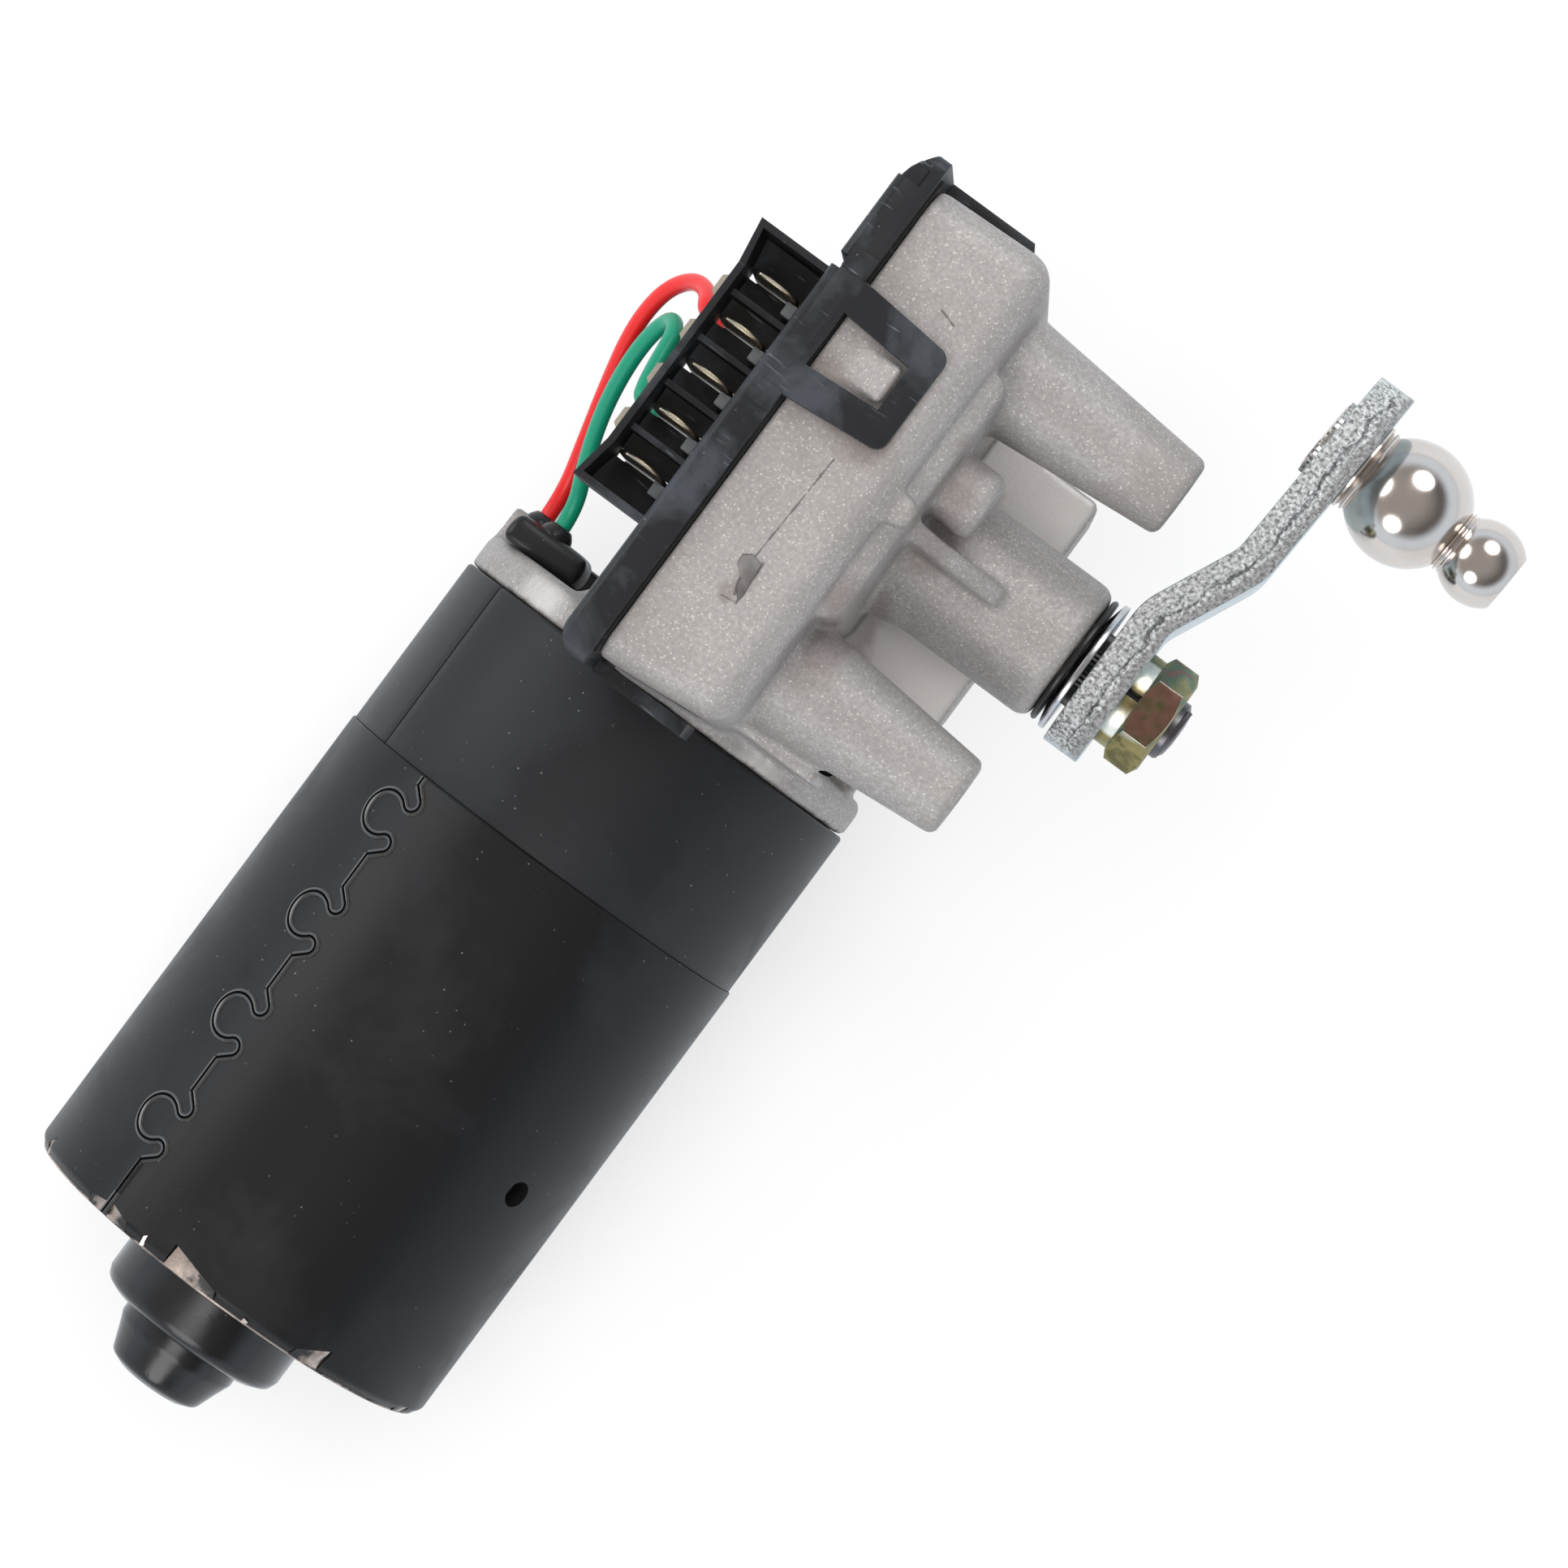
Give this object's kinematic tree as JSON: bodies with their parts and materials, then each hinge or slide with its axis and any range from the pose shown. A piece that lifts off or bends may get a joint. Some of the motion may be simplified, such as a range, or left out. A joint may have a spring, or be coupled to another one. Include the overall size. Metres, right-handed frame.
{
  "type": "wiper motor",
  "caption": "Wiper gear motor: round motor tube, worm gearbox, bent crank arm with a double ball stud.",
  "frame": {"origin": "on the output shaft's axis, in the plane of the three mounting boss ends", "axes": "+X out along the output shaft, +Y along the armature from the motor tube to the gearbox, +Z from the armature axis towards the output shaft axis"},
  "size_m": [0.1077, 0.1935, 0.1001],
  "materials": {
    "cast_aluminium": "shot-blasted die casting",
    "cover_plastic": "satin moulded",
    "seal_rubber": "moulded",
    "tinned_brass": "tinned",
    "tube_paint": "satin black paint",
    "yoke_paint": "satin black paint",
    "cap_paint": "gloss black paint",
    "bronze": "sintered",
    "spring_steel": "bare",
    "wear_plastic": "moulded",
    "ferrite": "ground ferrite",
    "shaft_steel": "ground",
    "lamination_steel": "stamped stack",
    "copper_wire": "enamelled copper",
    "card_plastic": "pressed laminate",
    "carbon": "pressed carbon",
    "gear_plastic": "moulded acetal",
    "washer_steel": "bare",
    "crank_zinc": "bright zinc plate",
    "polished_nickel": "polished",
    "yellow_zinc": "yellow passivated zinc",
    "black_steel": "blackened",
    "lead_red_pvc": "extruded",
    "lead_green_pvc": "extruded"
  },
  "bodies": {
    "root": {"gear_housing": "cast_aluminium", "cover": "cover_plastic", "gasket": "seal_rubber", "terminal_blades": "tinned_brass", "brush_shell": "tube_paint", "yoke_tube": "yoke_paint", "end_plate": "cap_paint", "rear_bush": "bronze", "bush_retainer": "spring_steel", "thrust_pad": "wear_plastic", "magnets": "ferrite", "magnet_clips": "spring_steel", "front_bush": "bronze", "worm_end_bush": "bronze", "thrust_screw": "shaft_steel", "brush_card": "card_plastic", "brush_boxes": "tinned_brass", "brushes": "carbon", "brush_springs": "spring_steel", "contact_fingers": "tinned_brass", "output_bushes": "bronze", "thrust_washer": "wear_plastic", "output_seal": "seal_rubber", "flange_screws": "black_steel", "lead_grommet": "seal_rubber", "lead_red": "lead_red_pvc", "lead_green": "lead_green_pvc"},
    "output": {"worm_wheel": "gear_plastic", "contact_disc": "tinned_brass", "output_shaft": "shaft_steel", "dished_washer": "washer_steel", "crank_arm": "crank_zinc", "ball_stud": "polished_nickel", "spring_washer": "yellow_zinc", "crank_nut": "yellow_zinc"},
    "armature": {"armature_shaft": "shaft_steel", "armature_core": "lamination_steel", "armature_windings": "copper_wire", "commutator_hub": "wear_plastic", "commutator_bars": "copper_wire"}
  },
  "joints": [
    {"name": "output_spin", "type": "hinge", "parent": "root", "child": "output", "pos_m": [0, 0, 0], "axis": [1, 0, 0], "continuous": true},
    {"name": "armature_spin", "type": "hinge", "parent": "root", "child": "armature", "pos_m": [-0.04, 0, -0.03319], "axis": [0, 1, 0], "continuous": true}
  ],
  "couplings": [
    {"joint": "armature_spin", "follows": "output_spin", "ratio": -50}
  ]
}
